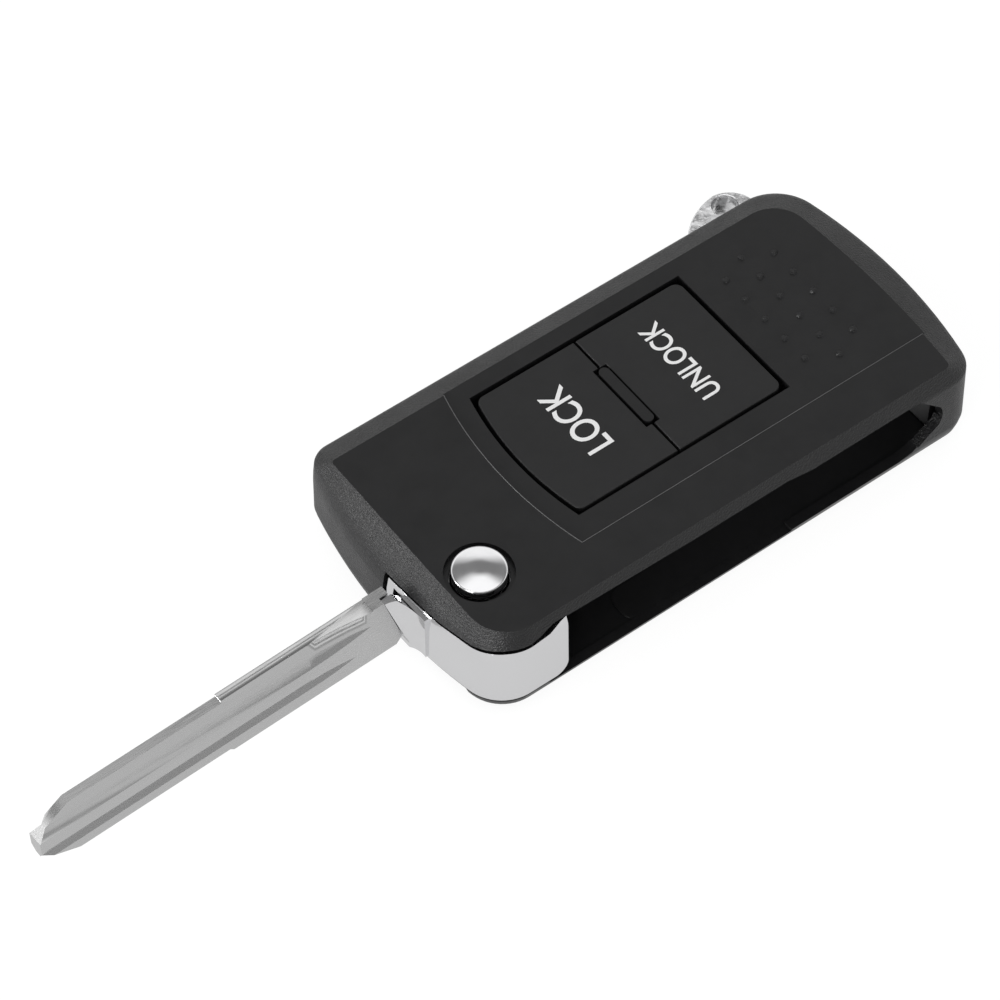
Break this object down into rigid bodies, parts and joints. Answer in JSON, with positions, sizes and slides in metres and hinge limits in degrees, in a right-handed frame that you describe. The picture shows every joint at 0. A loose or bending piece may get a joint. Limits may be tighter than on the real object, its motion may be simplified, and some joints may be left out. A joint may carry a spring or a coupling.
{
  "type": "flip key fob shell",
  "caption": "Empty two-part plastic shell of a folding car key: lock and unlock keys, round release button, chrome flip head with a milled blank blade, key ring lug",
  "frame": {"origin": "on the pivot axis of the flip head, on the flat back face", "axes": "+X to the key ring end, +Y to the side with the key ring lug, +Z out of the face with the keys"},
  "size_m": [0.1279, 0.0422, 0.015],
  "materials": {
    "case_plastic": "fine grained black moulded plastic, semi-matt",
    "key_plastic": "smooth satin black plastic with printed words",
    "membrane_rubber": "matt black silicone rubber",
    "chrome_metal": "satin chrome plated zinc casting",
    "blade_steel": "nickel plated, finely ground blade",
    "spring_steel": "plain drawn spring steel",
    "stem_plastic": "plain black moulded plastic"
  },
  "bodies": {
    "case": {"upper_shell": "case_plastic", "lower_shell": "case_plastic", "button_membrane": "membrane_rubber", "key_ring_lug": "chrome_metal", "case_screw": "spring_steel"},
    "head": {"flip_head": "chrome_metal", "key_blade": "blade_steel", "blade_pin": "blade_steel"},
    "release": {"release_cap": "chrome_metal", "release_stem": "stem_plastic", "flip_spring": "spring_steel"},
    "lock": {"lock_button": "key_plastic"},
    "unlock": {"unlock_button": "key_plastic"}
  },
  "joints": [
    {"name": "head_flip", "type": "hinge", "parent": "case", "child": "head", "pos_m": [0, 0, 0.0071], "axis": [0, 0, 1], "range_deg": [0, 178.3], "stiffness_Nm_per_rad": 0.0015, "springref_deg": -28.65},
    {"name": "release_press", "type": "slide", "parent": "head", "child": "release", "axis": [0, 0, 1], "range_m": [-0.0016, 0], "stiffness_N_per_m": 800, "springref_m": 0.0005, "deforming": ["flip_spring"]},
    {"name": "lock_press", "type": "slide", "parent": "case", "child": "lock", "axis": [0, 0, 1], "range_m": [-0.0006, 0], "stiffness_N_per_m": 1500, "springref_m": 0.0002},
    {"name": "unlock_press", "type": "slide", "parent": "case", "child": "unlock", "axis": [0, 0, 1], "range_m": [-0.0006, 0], "stiffness_N_per_m": 1500, "springref_m": 0.0002}
  ]
}
